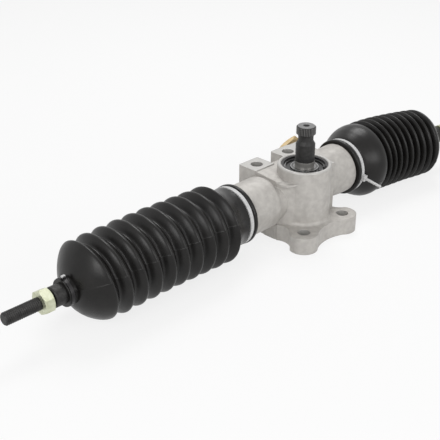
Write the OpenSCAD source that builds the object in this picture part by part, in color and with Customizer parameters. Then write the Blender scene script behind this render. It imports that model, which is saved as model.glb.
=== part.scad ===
// Short manual rack-and-pinion steering gear, in millimetres.
// A cast housing carries a splined pinion shaft in a ball bearing. The pinion
// drives a round rack bar, and a ball joint at each end of the bar carries a
// tie rod. A rubber bellows boot covers each ball joint.
// Origin: on the pinion axis, at the housing's mounting face. +Z points up the
// pinion shaft, and the rack bar lies along X, behind the pinion.

/* [Housing] */
// Distance from the pinion axis to the rack axis
centre_distance = 16; // [15.95:0.01:16.1]
// Radius of the cast tube round the rack
tube_r = 23; // [22.4:0.1:24]
// Wall of the cast tube round its wide hollows
tube_wall = 4.5; // [4:0.1:5]
// Half length of the cast tube
tube_half = 78; // [76:0.5:84]
// Radius of the machined tube end under each boot
seat_r = 21.6; // [21.2:0.1:22]
// Radius of the upright pinion tower
tower_r = 23.4; // [22.6:0.1:25]
// Height of the pinion tower over the mounting face
tower_h = 64; // [62:0.5:68]
// Thickness of the mounting flange
flange_t = 15; // [10:0.5:18]
// Distance between the two front bolt holes
front_bolt_span = 52; // [48:0.5:58]
// Distance of the front bolt holes in front of the pinion axis
front_bolt_y = 24; // [23:0.5:30]
// Radius of the rounded lobe round each front bolt hole
lobe_r = 12.5; // [10:0.5:14]
// Radius of the hollow front edge between the two lobes
hollow_r = 40; // [34:1:50]
// Radius of the hollow side edge between a front lobe and a rear boss
side_hollow_r = 14; // [12:0.5:18]
// Distance between the two rear bolt holes
rear_bolt_span = 41; // [38:0.5:46]
// Distance of the rear bolt holes behind the pinion axis
rear_bolt_y = 36.8; // [36:0.2:40]
// Depth of the rear boss faces below the top of the tower
rear_boss_drop = 6.5; // [5:0.5:9]
// Width of each rear bolt boss
boss_w = 23.5; // [21:0.5:25]
// Distance from the rear bolt holes to the rear face of their bosses
boss_back = 10.5; // [9:0.5:12]
// Radius of the mounting bolt holes
bolt_hole_r = 5.3; // [4.5:0.1:6]
// Radius of the small fillet where the cast walls meet the flange
cast_fillet = 3; // [1:0.5:4]

/* [Gears] */
// Gear module
gear_module = 2; // [1.95:0.01:2.05]
// Number of pinion teeth
pinion_teeth = 7; // [7:1:7]
// Number of tooth gaps cut in the rack
rack_gaps = 16; // [16:1:16]
// Play between the tooth flanks
backlash = 0.12; // [0.08:0.01:0.3]
// Length of the toothed part of the pinion
gear_l = 28; // [26:0.5:30]

/* [Rack bar] */
// Radius of the rack bar
rack_r = 12; // [11.8:0.1:12.5]
// Distance that the rack bar stands to the left of its middle position
rack_offset = 24; // [18:1:30]
// Travel of the rack bar to each side of its middle position
rack_travel = 36; // [30:1:38]
// Radial play of each ball in its seat
ball_play = 0.09; // [0.03:0.01:0.1]
// Radial play of the running fits on the rack bar, journal and guide
bush_clear = 0.05; // [0.02:0.01:0.1]
// Wall of each rack bush
bush_wall = 3; // [2:0.25:4]
// Length of each rack bush
bush_l = 9; // [8:0.5:9]

/* [Pinion shaft] */
// Radius of the shaft and of the bearing seat
shaft_r = 8.5; // [8:0.1:8.6]
// Radius of the dark stem above the bearing journal, and of the splined head
stem_r = 8.3; // [7.8:0.1:8.3]
// Length of the ground journal above the bearing
journal_out = 5.3; // [3:0.1:8]
// Length of the shaft above the tower
shaft_out = 34; // [30:1:40]
// Length of the splined head
spline_l = 7; // [5:0.5:8]
// Number of splines
spline_count = 36; // [30:1:40]
// Depth of the splines
spline_depth = 0.7; // [0.3:0.1:0.9]
// Radius of the groove under the splined head
neck_r = 6.5; // [5.5:0.1:7.5]
// Radius of the lower journal
journal_r = 6; // [5:0.1:6.5]
// Radius of the centre hole in the shaft end
centre_hole_r = 1.6; // [1:0.1:2.5]

/* [Bearing] */
// Outer radius of the ball bearing
bearing_r = 20; // [19.5:0.1:20.4]
// Width of the ball bearing
bearing_w = 12; // [11:0.5:13]
// Radius of the bearing balls
ball_bearing_r = 3.3; // [3:0.05:3.35]
// Number of bearing balls
bearing_ball_count = 8; // [7:1:8]
// Radial play of the seats and bores that hold a ring or a bush
fit_play = 0.02; // [0.01:0.01:0.05]
// Depth of the bearing below the top of the tower
bearing_depth = 2.8; // [2.4:0.1:3.4]
// Thickness of the bearing circlip
circlip_t = 1.7; // [1.2:0.1:2]
// Gap between the rack bar and the bearing above it
bearing_gap = 3.7; // [3.6:0.1:6]

/* [Rack guide] */
// Distance of the rack guide from the end of the cast tube
guide_in = 28; // [28:0.5:32]
// Outer radius of the guide tower
guide_tower_r = 16.5; // [15.5:0.1:16.7]
// Distance of the guide tower's end face behind the rack axis
guide_face = 40; // [38:0.5:44]
// Radius of the guide bore
guide_bore_r = 12.5; // [12:0.25:12.5]
// Width across flats of the lock nut
lock_nut_flats = 41; // [36:1:46]
// Thickness of the lock nut
lock_nut_t = 4.5; // [4:0.5:7]
// Turn of the lock nut about the guide's axis, in degrees
lock_nut_turn = 12; // [0:1:30]

/* [Tie rods] */
// Distance of each ball centre beyond its tube end, with the rack bar at its middle
ball_reach = 50; // [49:1:55]
// Radius of each tie rod's ball
ball_r = 9; // [8.5:0.1:9.2]
// Wall of the ball seat
seat_wall = 2.8; // [2.4:0.1:3]
// Outer radius of each ball socket
socket_r = 17.5; // [17:0.1:18.5]
// Radius of the tie rod behind the ball
ball_neck_r = 5; // [4.5:0.1:5.2]
// Radius of the tie rod
rod_r = 8; // [7:0.1:8.2]
// Distance from the ball centre to the end of the tie rod
rod_end = 141; // [136:1:150]
// Radius of the threaded stud
stud_r = 5; // [4:0.5:6]
// Length of the threaded stud
stud_l = 39; // [32:0.5:41]
// Angle of the right tie rod towards the front, in degrees
right_swing = 11; // [0:0.5:14]
// Width across flats of each jam nut
jam_nut_flats = 17; // [16:1:19]
// Thickness of each jam nut
jam_nut_t = 8; // [5:0.5:9]
// Gap between the rod's shoulder and the jam nut
jam_nut_gap = 2; // [1:0.5:4]

/* [Boots] */
// Outer radius of the boot's crests
crest_r = 33.3; // [31:0.1:33.4]
// Outer radius of the boot's valleys
valley_r = 27; // [26:0.1:28.5]
// Number of crests on each boot
crest_count = 10; // [10:1:10]
// Rubber wall thickness
boot_wall = 1.8; // [1.5:0.1:2.2]
// Height of the bead at the boot's big end above its seat on the tube
bead_h = 4.6; // [4:0.1:5]
// Distance of the bead's middle from the end of the cast tube
bead_in = 8.5; // [8:0.25:9.5]
// Width of the bead
bead_w = 4; // [3.5:0.25:4.5]
// Height of the boot's big end beside the bead above its seat on the tube
boot_end_h = 3.6; // [3.2:0.1:4]
// Distance from the left boot's bead to its first crest
left_first_crest = 26.5; // [25:0.5:28]
// Distance from one crest to the next on the stretched left boot
left_pitch = 13.9; // [13:0.1:14.1]
// Distance from one crest to the next on the squeezed right boot
right_pitch = 8; // [7.8:0.1:8.2]
// How far the boot's closed end is drawn in from an ellipse towards a cone
dome_power = 1.35; // [1:0.05:1.6]
// Outer radius of the boot's small end
boot_neck_r = 10.8; // [10.4:0.1:11.5]
// Length of the boot's small end
boot_neck_l = 7; // [6.5:0.5:12]
// Distance from the ball centre to the boot's small end
boot_neck_at = 86; // [85:0.5:90]
// Width of each cable tie
tie_w = 3.4; // [3:0.1:4.8]
// Thickness of each cable tie
tie_t = 1.3; // [1:0.1:1.6]
// Gap between the bead and the cable tie
tie_gap = 0.8; // [0.4:0.1:1.4]
// Length of the loose tail on the right cable tie
tie_tail = 17; // [10:1:24]
// Turn of the left cable tie's lock block about the rack axis, in degrees
left_block_turn = 150; // [120:1:180]
// Turn of the right cable tie's lock block about the rack axis, in degrees
right_block_turn = 99; // [80:1:120]
// Thickness of the boot clip
clip_t = 0.8; // [0.6:0.1:1.2]
// Width of the boot clip
clip_w = 3; // [2.5:0.1:3.2]

/* [Hidden] */
$fn = 96;
eps = 0.01;

// Pinion and rack teeth: stub teeth with a 30 degree pressure angle
pressure = 30;
pitch_r = gear_module * pinion_teeth / 2;
addendum = 0.8 * gear_module;
dedendum = 1.0 * gear_module;
base_r = pitch_r * cos(pressure);
tip_r = pitch_r + addendum;
root_r = pitch_r - dedendum;
tooth_pitch = PI * gear_module;

// Rack bar and its ball joints at rest
rack_z = tower_h - bearing_depth - bearing_w - bearing_gap - rack_r;
ball_span = tube_half + ball_reach;
ball_left_x = -ball_span - rack_offset;
ball_right_x = ball_span - rack_offset;
socket_back = ball_span - rack_travel - (tube_half - 6) - 0.4;
socket_front = 7;
rack_thread_l = 6;
rack_thread_r = rack_r - 4;
gap_first = -11;

// Bearing and its seat in the tower
bearing_top = tower_h - bearing_depth;
bearing_bottom = bearing_top - bearing_w;
bearing_pitch_r = (bearing_r + shaft_r) / 2;
race_r = ball_bearing_r + 0.04;
journal_top = bearing_top + journal_out;
shaft_top = tower_h + shaft_out;
gear_z0 = rack_z - gear_l / 2;
gear_z1 = rack_z + gear_l / 2;
journal_z0 = 5;
pinion_cavity_r = tip_r + 0.9;
lower_bush_r = journal_r + 2.5;

// Rack guide along Y
guide_x = tube_half - guide_in;
guide_y1 = centre_distance + guide_face;
plug_l = 12;
plug_y0 = guide_y1 - plug_l + lock_nut_t + 1.5;
yoke_y0 = centre_distance + rack_r * 0.45;
yoke_y1 = plug_y0 - 0.3;
spring_pocket = 12;
spring_pocket_r = 8;

// Middle of the casting: its side wall, the step where the left tube leaves it,
// the thin lip along its front and the sloping top that runs up to the bosses
rear_boss_h = tower_h - rear_boss_drop;
core_x = rear_bolt_span / 2 + boss_w / 2 - 0.6;
core_back = rear_bolt_y - 5.8;
step_x = core_x + 2.65;
ledge_z = rack_z + tube_r - 2.7;
ledge_t = 2;
taper_x0 = 26;
taper_x1 = 56;
core_right = 25;
core_side_y = 4;
rib_x = 28.5;
rib_y0 = -10.8;
rib_y1 = 7.2;
side_hollow_y = -6;

// Bush, bead and boot seats
stop_x = tube_half - 6;
bush_r = rack_r + bush_clear + bush_wall;
bead_x = tube_half - bead_in;
bead_r = seat_r + bead_h;
boot_end_r = seat_r + boot_end_h;
cavity_r = tube_r - tube_wall;
cavity_x0 = 34;
socket_bore_r = socket_r + 1.5;
tie_x = bead_x + bead_w / 2 + tie_gap + tie_w / 2;
thread_pitch_r = stud_r - 0.4;
tie_seat_r = boot_end_r - 1;

// Moves a shape made along +X from its ball centre to the left or right end
module at_left() {
    translate([ball_left_x, centre_distance, rack_z])
        rotate([0, 0, 180])
            children();
}

module at_right() {
    translate([ball_right_x, centre_distance, rack_z])
        rotate([0, 0, -right_swing])
            children();
}

// Turns a shape made along +Z so that it lies along +X
module along_x() {
    rotate([0, 90, 0])
        children();
}

// Moves a shape made along +X from the pinion axis onto the rack axis
module on_rack(side = 1) {
    translate([0, centre_distance, rack_z])
        rotate([0, 0, side > 0 ? 0 : 180])
            children();
}

// A cylinder along +X from x0 to x1
module bar_x(r, x0, x1) {
    translate([x0, 0, 0])
        along_x()
            cylinder(r = r, h = x1 - x0);
}

// Moves an outline drawn in Y and Z to stand up, and stretches it along X
module side_prism(x0, x1) {
    translate([x0, 0, 0])
        rotate([90, 0, 90])
            linear_extrude(x1 - x0)
                children();
}

// Mounting flange: two front lobes with a hollow front edge between them, and
// a hollow edge on each side. The front hollow touches both lobes.
module flange_outline() {
    half = front_bolt_span / 2;
    touch = lobe_r + hollow_r - 0.4;
    hollow_y = sqrt(pow(touch, 2) - pow(half, 2));
    join = (lobe_r - 0.8) / touch;
    rear_x = rear_bolt_span / 2 + boss_back;
    difference() {
        union() {
            difference() {
                polygon([
                    [-half - lobe_r * 0.72, -front_bolt_y + lobe_r * 0.7],
                    [-half, -front_bolt_y],
                    [-half * (1 - join), -front_bolt_y - hollow_y * join],
                    [half * (1 - join), -front_bolt_y - hollow_y * join],
                    [half, -front_bolt_y],
                    [half + lobe_r * 0.72, -front_bolt_y + lobe_r * 0.7],
                    [rear_x, core_side_y],
                    [rear_x, rear_bolt_y],
                    [-rear_x, rear_bolt_y],
                    [-rear_x, core_side_y]
                ]);
                translate([0, -front_bolt_y - hollow_y])
                    circle(r = hollow_r);
            }
            for (side = [-1, 1])
                translate([side * half, -front_bolt_y])
                    circle(r = lobe_r);
            circle(r = tower_r);
        }
        for (side = [-1, 1])
            translate([side * (rear_x - 1.5 + side_hollow_r), side_hollow_y])
                circle(r = side_hollow_r);
    }
}

// One rear bolt boss with its small rounded rear corners
module rear_boss(side) {
    corner = 1.2;
    front = rear_bolt_y - boss_back + 0.7;
    back = rear_bolt_y + boss_back;
    translate([side * rear_bolt_span / 2, 0, 0])
        linear_extrude(rear_boss_h) {
            translate([-boss_w / 2, front])
                square([boss_w, back - corner - front]);
            translate([-boss_w / 2 + corner, front])
                square([boss_w - 2 * corner, back - front]);
            for (edge = [-1, 1])
                translate([edge * (boss_w / 2 - corner), back - corner])
                    circle(r = corner);
        }
}

// Solid casting between the tower and the tube, its top sloping up to the rear
// bosses, with a lip along its front and an upright rib right of the tower
module core() {
    intersection() {
        linear_extrude(tower_h)
            polygon([
                [-core_x, core_back],
                [-core_x, core_side_y],
                [-tower_r * 0.87, -tower_r * 0.45],
                [tower_r * 0.87, -tower_r * 0.45],
                [core_right, core_side_y],
                [core_right, core_back]
            ]);
        side_prism(-core_x - 1, core_x)
            polygon([
                [-tower_r, 0], [-tower_r, ledge_z - 1], [core_back - 0.3, rear_boss_h - 0.5],
                [core_back - 0.3, rack_z], [centre_distance, 0]
            ]);
    }
    translate([0, 0, ledge_z - ledge_t])
        linear_extrude(ledge_t)
            polygon([
                [-core_x + 0.5, centre_distance],
                [-core_x - 0.4, -1.5],
                [-core_x + 1.8, -7],
                [-tower_r * 0.8, -tower_r * 0.52],
                [0, 0],
                [0, centre_distance]
            ]);
    translate([0, rib_y0, 0])
        linear_extrude(ledge_z + 5)
            square([rib_x, rib_y1 - rib_y0]);
}

// Concave ring that runs from an upright wall of radius r out onto a flat face
module foot_fillet(r, fillet) {
    rotate_extrude()
        difference() {
            translate([r - 0.5, 0])
                square([fillet + 0.5, fillet]);
            translate([r + fillet, fillet])
                circle(r = fillet);
        }
}

module housing_outside() {
    linear_extrude(flange_t)
        flange_outline();
    cylinder(r = tower_r, h = tower_h - 1);
    translate([0, 0, tower_h - 1])
        cylinder(r1 = tower_r, r2 = tower_r - 1, h = 1);
    translate([0, 0, flange_t])
        foot_fillet(tower_r, cast_fillet);
    core();
    for (side = [-1, 1])
        rear_boss(side);
    on_rack()
        along_x()
            rotate_extrude()
                housing_profile();
    guide_tower();
}

// Half section of the cast tube: the machined ends, the thick tube on each
// side and the slimmer waist behind the tower, from which the right tube widens
module housing_profile() {
    waist_r = tube_r - 2.5;
    round_r = 3;
    polygon(concat(
        [[0, -tube_half], [seat_r - 1, -tube_half], [seat_r, -tube_half + 1],
         [seat_r, -bead_x + bead_w / 2 + 0.4]],
        [[tube_r - 1, -bead_x + bead_w / 2 + 0.4], [tube_r, -bead_x + bead_w / 2 + 1.4]],
        [for (a = [0:15:90]) [tube_r - round_r + round_r * cos(a), -step_x - round_r + round_r * sin(a)]],
        [[waist_r, -step_x], [waist_r, taper_x0], [tube_r, taper_x1]],
        [[tube_r, bead_x - bead_w / 2 - 1.4], [tube_r - 1, bead_x - bead_w / 2 - 0.4]],
        [[seat_r, bead_x - bead_w / 2 - 0.4], [seat_r, tube_half - 1],
         [seat_r - 1, tube_half], [0, tube_half]]
    ));
}

// Tower for the rack guide, behind the right tube, with its web to the boss
module guide_tower() {
    web_x1 = guide_x - 4;
    translate([guide_x, centre_distance, rack_z])
        rotate([-90, 0, 0])
            cylinder(r = guide_tower_r, h = guide_face);
    side_prism(rear_bolt_span / 2, web_x1)
        polygon([
            [centre_distance, rack_z - 8], [centre_distance, rack_z + tube_r - 2],
            [core_back, rear_boss_h], [rear_bolt_y + boss_back - 1, rear_boss_h],
            [rear_bolt_y + boss_back - 1, rack_z - 8]
        ]);
}

module housing_bores() {
    // Pinion bore, from the bearing seat down to the blind lower bush
    translate([0, 0, bearing_bottom])
        cylinder(r = bearing_r + fit_play, h = tower_h);
    translate([0, 0, bearing_top + fit_play])
        cylinder(r = bearing_r + 1.3, h = circlip_t + 0.1);
    translate([0, 0, tower_h - 0.8])
        cylinder(r1 = bearing_r, r2 = bearing_r + 1, h = 0.8 + eps);
    translate([0, 0, gear_z0 - 2])
        cylinder(r = pinion_cavity_r, h = bearing_bottom - gear_z0 + 2 + eps);
    translate([0, 0, bearing_bottom - 2])
        cylinder(r = bearing_r - 4, h = 2 + eps);
    translate([0, 0, journal_z0])
        cylinder(r = lower_bush_r + fit_play, h = gear_z0);
    // Rack bore, with the wide cast hollows between the bearing lands
    on_rack() {
        bar_x(rack_r + 0.6, -tube_half, tube_half);
        for (side = [-1, 1])
            rotate([0, 0, side > 0 ? 0 : 180]) {
                bar_x(cavity_r, cavity_x0, stop_x - bush_l);
                bar_x(bush_r + fit_play, stop_x - bush_l - 1, stop_x + 1);
                bar_x(socket_bore_r, stop_x, tube_half + 1);
            }
    }
    // Guide bore
    translate([guide_x, centre_distance, rack_z])
        rotate([-90, 0, 0])
            cylinder(r = guide_bore_r, h = guide_face + 1);
    // Mounting bolt holes
    for (side = [-1, 1]) {
        translate([side * front_bolt_span / 2, -front_bolt_y, -1])
            cylinder(r = bolt_hole_r, h = flange_t + 2);
        translate([side * rear_bolt_span / 2, rear_bolt_y, -1])
            cylinder(r = bolt_hole_r, h = rear_boss_h + 2);
    }
}

module rack_housing() {
    color([0.74, 0.73, 0.71])
        difference() {
            housing_outside();
            housing_bores();
        }
}

module lower_bush() {
    color([0.72, 0.6, 0.35])
        translate([0, 0, journal_z0])
            difference() {
                cylinder(r = lower_bush_r, h = gear_z0 - 2 - journal_z0);
                translate([0, 0, -1])
                    cylinder(r = journal_r + bush_clear, h = gear_z0);
            }
}

// Ball bearing rings: a ring with a race groove turned into one side
module bearing_outer_ring() {
    race_lip = bearing_pitch_r + ball_bearing_r * 0.68;
    color([0.5, 0.5, 0.5])
        translate([0, 0, bearing_bottom])
            rotate_extrude()
                difference() {
                    translate([race_lip, 0])
                        square([bearing_r - race_lip, bearing_w]);
                    translate([bearing_pitch_r, bearing_w / 2])
                        circle(r = race_r);
                }
}

module bearing_inner_ring() {
    race_lip = bearing_pitch_r - ball_bearing_r * 0.68;
    color([0.75, 0.75, 0.75])
        translate([0, 0, bearing_bottom])
            rotate_extrude()
                difference() {
                    translate([shaft_r + fit_play, 0])
                        square([race_lip - shaft_r - fit_play, bearing_w]);
                    translate([bearing_pitch_r, bearing_w / 2])
                        circle(r = race_r);
                }
}

module bearing_balls() {
    color([0.8, 0.8, 0.82])
        for (k = [0:bearing_ball_count - 1])
            rotate([0, 0, (k + 0.5) * 360 / bearing_ball_count])
                translate([bearing_pitch_r, 0, bearing_bottom + bearing_w / 2])
                    sphere(r = ball_bearing_r);
}

// Crown cage: a ring over the balls, with a round pocket for each ball
module bearing_cage() {
    cage_w = 1.85;
    color([0.22, 0.2, 0.18])
        translate([0, 0, bearing_bottom + bearing_w / 2])
            difference() {
                rotate_extrude()
                    translate([bearing_pitch_r - cage_w, 0.5])
                        square([2 * cage_w, bearing_w / 2 - 2]);
                for (k = [0:bearing_ball_count - 1])
                    rotate([0, 0, (k + 0.5) * 360 / bearing_ball_count])
                        translate([bearing_pitch_r, 0, 0])
                            sphere(r = ball_bearing_r + 0.12);
            }
}

// Internal circlip: an open ring with two drilled ears at its gap
module bearing_circlip() {
    ring_in = bearing_r - 2;
    ring_out = bearing_r + 1.1;
    gap_angle = -80;
    color([0.16, 0.15, 0.15])
        translate([0, 0, bearing_top + 0.1])
            rotate([0, 0, gap_angle])
                linear_extrude(circlip_t)
                    difference() {
                        union() {
                            difference() {
                                circle(r = ring_out);
                                circle(r = ring_in);
                                translate([0, -4.2])
                                    square([bearing_r + 5, 8.4]);
                            }
                            for (side = [-1, 1])
                                translate([ring_in - 0.6, side * 5.6])
                                    circle(r = 2.3);
                        }
                        for (side = [-1, 1])
                            translate([ring_in - 0.6, side * 5.6])
                                circle(r = 1);
                    }
}

module rack_bush(side) {
    color([0.2, 0.2, 0.2])
        on_rack(side)
            difference() {
                bar_x(bush_r, stop_x - bush_l, stop_x - 0.2);
                bar_x(rack_r + bush_clear, stop_x - bush_l - 1, stop_x + 1);
            }
}

// Point on the pinion's involute flank, where the radius is r
function involute_turn(r) = let (a = acos(base_r / r)) tan(a) * 180 / PI - a;
half_tooth = 90 / pinion_teeth - backlash * 90 / (PI * pitch_r) * 0.5;
function flank_angle(r) = half_tooth + involute_turn(pitch_r) - (r > base_r ? involute_turn(r) : 0);

module pinion_section() {
    steps = 7;
    radii = concat([root_r], [for (i = [0:steps]) base_r + eps + (tip_r - base_r - eps) * i / steps]);
    polygon([
        for (k = [0:pinion_teeth - 1])
            let (mid = 90 + k * 360 / pinion_teeth)
                for (i = [0:2 * len(radii) - 1])
                    let (
                        rising = i < len(radii),
                        r = radii[rising ? i : 2 * len(radii) - 1 - i],
                        a = mid + (rising ? -1 : 1) * flank_angle(r)
                    )
                        [r * cos(a), r * sin(a)]
    ]);
}

module spline_section() {
    polygon([
        for (k = [0:spline_count - 1])
            for (p = [[-0.3, -1], [-0.14, 0], [0.14, 0], [0.3, -1]])
                let (
                    a = (k + p[0]) * 360 / spline_count,
                    r = stem_r + p[1] * spline_depth
                )
                    [r * cos(a), r * sin(a)]
    ]);
}

// Pinion shaft: one turned core, with the teeth and the splines round it
module pinion_shaft() {
    spline_z0 = shaft_top - spline_l;
    neck_top = spline_z0 - 2.5;
    neck_bottom = neck_top - 3.5;
    full_top = neck_bottom - 3;
    core_r = root_r * 0.9;
    collar_r = tip_r + 0.4;
    color([0.24, 0.23, 0.22])
        difference() {
            union() {
                rotate_extrude()
                    polygon([
                        [0, journal_z0 + 1], [journal_r - 0.6, journal_z0 + 1],
                        [journal_r, journal_z0 + 1.6], [journal_r, gear_z0 + 0.5],
                        [core_r, gear_z0 + 0.5], [core_r, gear_z1 - 0.5],
                        [collar_r, gear_z1 - 0.5], [collar_r, bearing_bottom],
                        [shaft_r, bearing_bottom], [shaft_r, journal_top],
                        [stem_r, journal_top], [stem_r, full_top],
                        [neck_r, neck_bottom], [neck_r, neck_top],
                        [stem_r - spline_depth - 0.4, spline_z0 + 0.4],
                        [stem_r - spline_depth - 1, shaft_top - 1], [0, shaft_top - 1]
                    ]);
                translate([0, 0, gear_z0])
                    linear_extrude(gear_l)
                        pinion_section();
                intersection() {
                    translate([0, 0, spline_z0])
                        linear_extrude(spline_l)
                            spline_section();
                    rotate_extrude()
                        polygon([
                            [0, spline_z0 - 1], [stem_r + 0.3, spline_z0 - 1],
                            [stem_r + 0.3, shaft_top - 1.3], [stem_r - 1, shaft_top], [0, shaft_top]
                        ]);
                }
            }
            rotate_extrude()
                polygon([
                    [0, shaft_top - 4], [centre_hole_r, shaft_top - 4],
                    [centre_hole_r, shaft_top - 1.3], [centre_hole_r + 1.3, shaft_top],
                    [centre_hole_r + 1.3, shaft_top + 1], [0, shaft_top + 1]
                ]);
        }
}

// One rack tooth gap: a trapezium with its wide mouth at the tooth tips
module rack_gap() {
    half_gap = tooth_pitch / 4 + backlash / 4;
    mouth = half_gap + (addendum + 1) * tan(pressure);
    floor_half = half_gap - dedendum * tan(pressure);
    polygon([
        [-mouth, -addendum - 1],
        [mouth, -addendum - 1],
        [floor_half, dedendum],
        [-floor_half, dedendum]
    ]);
}

module rack_bar() {
    last_gap = gap_first + rack_gaps - 1;
    zone_x0 = (gap_first - 0.6) * tooth_pitch;
    zone_x1 = (last_gap + 0.6) * tooth_pitch;
    color([0.6, 0.6, 0.62])
        difference() {
            translate([0, centre_distance, rack_z]) {
                bar_x(rack_r, ball_left_x + socket_back, ball_right_x - socket_back);
                bar_x(rack_thread_r, ball_left_x + socket_back - rack_thread_l,
                      ball_right_x - socket_back + rack_thread_l);
            }
            translate([zone_x0, centre_distance - rack_r - 1, rack_z - rack_r - 1])
                cube([zone_x1 - zone_x0, pitch_r - addendum - centre_distance + rack_r + 1, 2 * rack_r + 2]);
            translate([0, pitch_r, rack_z - rack_r - 1])
                linear_extrude(2 * rack_r + 2)
                    for (k = [gap_first:last_gap])
                        translate([k * tooth_pitch, 0])
                            rack_gap();
        }
}

// Socket screwed on the rack end, made with the rack end at -X. Its first
// stretch has two flats for a spanner.
module ball_socket() {
    cavity = ball_r + seat_wall + 0.3;
    flats = 2 * socket_r - 4;
    flat_l = 5;
    color([0.3, 0.3, 0.31])
        difference() {
            along_x()
                rotate_extrude()
                    difference() {
                        polygon([
                            [0, -socket_back], [socket_r - 0.5, -socket_back],
                            [socket_r, -socket_back + 0.5], [socket_r, socket_front - 3],
                            [socket_r - 2.5, socket_front], [0, socket_front]
                        ]);
                        circle(r = cavity);
                        translate([0, -socket_back - 1])
                            square([rack_thread_r + fit_play, socket_back]);
                    }
            for (side = [-1, 1])
                translate([-socket_back - 1, side * (flats / 2 + 5) - 5, -socket_r])
                    cube([flat_l + 1, 10, 2 * socket_r]);
        }
}

// Nylon cup round the ball, open towards the tie rod
module ball_seat() {
    outer = ball_r + seat_wall;
    lift = 20;
    open_angle = asin(ball_neck_r / ball_r) + lift + 3;
    reach = outer + 1;
    grease_hole_r = 2;
    color([0.9, 0.9, 0.86])
        along_x()
            rotate_extrude()
                intersection() {
                    difference() {
                        circle(r = outer);
                        circle(r = ball_r + ball_play);
                        polygon([[0, 0], [reach * tan(open_angle), reach], [0, reach]]);
                    }
                    translate([grease_hole_r, -reach])
                        square([reach, 2 * reach]);
                }
}

// Tie rod along +X from its ball centre, with the threaded stud at its end.
// Under the jam nut, where the two threads interlock, both have the pitch radius.
module tie_rod() {
    shoulder = rod_end - stud_l;
    thread_from = shoulder + jam_nut_gap + jam_nut_t + 0.5;
    ball_flat = ball_r - 0.3;
    color([0.28, 0.28, 0.29])
        along_x()
            rotate_extrude()
                union() {
                    intersection() {
                        circle(r = ball_r);
                        translate([0, -ball_flat])
                            square([2 * ball_r, 2 * ball_r]);
                    }
                    polygon([
                        [0, 0], [ball_neck_r, 0], [ball_neck_r, ball_r + 6], [rod_r, ball_r + 14],
                        [rod_r, shoulder], [thread_pitch_r, shoulder], [thread_pitch_r, thread_from],
                        [stud_r, thread_from], [stud_r, rod_end - 1], [stud_r - 1, rod_end], [0, rod_end]
                    ]);
                }
}

// Hexagon nut along +X, with its corners turned off at both faces
module hex_nut(flats, thick, bore) {
    corner = flats / sqrt(3);
    bevel = (corner - flats / 2) * 0.6;
    along_x()
        difference() {
            intersection() {
                linear_extrude(thick)
                    circle(r = corner, $fn = 6);
                rotate_extrude()
                    polygon([
                        [0, 0], [corner - bevel * 1.6, 0], [corner + bevel, bevel * 1.6],
                        [corner + bevel, thick - bevel * 1.6], [corner - bevel * 1.6, thick], [0, thick]
                    ]);
            }
            translate([0, 0, -1])
                cylinder(r = bore, h = thick + 2);
        }
}

module jam_nut() {
    color([0.75, 0.76, 0.62])
        translate([rod_end - stud_l + jam_nut_gap, 0, 0])
            hex_nut(jam_nut_flats, jam_nut_t, thread_pitch_r + fit_play);
}

// Round clip on the boot's small end, with one raised ear
module boot_clip() {
    clip_in = boot_neck_r - 0.6 + bush_clear;
    x0 = boot_neck_at + boot_neck_l * 0.4;
    color([0.7, 0.7, 0.7])
        difference() {
            union() {
                bar_x(clip_in + clip_t, x0, x0 + clip_w);
                translate([x0, -1.1, clip_in])
                    cube([clip_w, 2.2, 3.2]);
            }
            bar_x(clip_in, x0 - 1, x0 + clip_w + 1);
        }
}

module guide_yoke() {
    color([0.62, 0.62, 0.6])
        difference() {
            translate([guide_x, yoke_y0, rack_z])
                rotate([-90, 0, 0])
                    cylinder(r = guide_bore_r - bush_clear, h = yoke_y1 - yoke_y0);
            on_rack()
                bar_x(rack_r + bush_clear, guide_x - guide_bore_r - 1, guide_x + guide_bore_r + 1);
            translate([guide_x, yoke_y1 - spring_pocket, rack_z])
                rotate([-90, 0, 0])
                    cylinder(r = spring_pocket_r, h = spring_pocket + 1);
        }
}

// Stack of cone-shaped disc springs that presses the yoke on the rack
module guide_spring() {
    discs = 6;
    disc_t = 0.9;
    inner = spring_pocket_r - 4;
    outer = spring_pocket_r - 0.4;
    disc_h = (plug_y0 - yoke_y1 + spring_pocket - 0.04) / discs;
    color([0.45, 0.45, 0.47])
        translate([guide_x, yoke_y1 - spring_pocket + 0.02, rack_z])
            rotate([-90, 0, 0])
                rotate_extrude()
                    for (k = [0:discs - 1])
                        let (low = k % 2 == 0 ? inner : outer, high = k % 2 == 0 ? outer : inner)
                            translate([0, k * disc_h])
                                polygon([
                                    [low, k > 0 ? -0.02 : 0],
                                    [low, disc_t],
                                    [high, disc_h],
                                    [high, disc_h - disc_t]
                                ]);
}

// Threaded plug that loads the spring, with a square socket in its face
module guide_plug() {
    color([0.62, 0.63, 0.64])
        translate([guide_x, plug_y0, rack_z])
            rotate([-90, 0, 0])
                difference() {
                    cylinder(r = guide_bore_r - fit_play, h = plug_l);
                    translate([-5, -5, plug_l - 5])
                        cube([10, 10, 6]);
                }
}

module guide_lock_nut() {
    color([0.86, 0.6, 0.3])
        translate([guide_x, guide_y1, rack_z])
            rotate([0, 0, 90])
                rotate([lock_nut_turn, 0, 0])
                    hex_nut(lock_nut_flats, lock_nut_t, guide_bore_r);
}

// Half profile of the big end of a boot, from the bead to a point before the
// first crest. Points are [radius, distance along the boot].
function big_end_out(end_r, end_x) = [
    [bead_r - 1, 0], [bead_r, 1], [bead_r, bead_w - 1], [bead_r - 1, bead_w],
    [tie_seat_r, bead_w + tie_gap * 0.5], [tie_seat_r, bead_w + tie_gap + tie_w + 0.6],
    [boot_end_r, bead_w + tie_gap + tie_w + 1.2], [end_r, end_x]
];

// Radius of the wave between two crests, at a share t of the pitch
function wave(t) = valley_r + (crest_r - valley_r) * pow(0.5 + 0.5 * cos(360 * t), 0.5);

wave_steps = 8;

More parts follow.
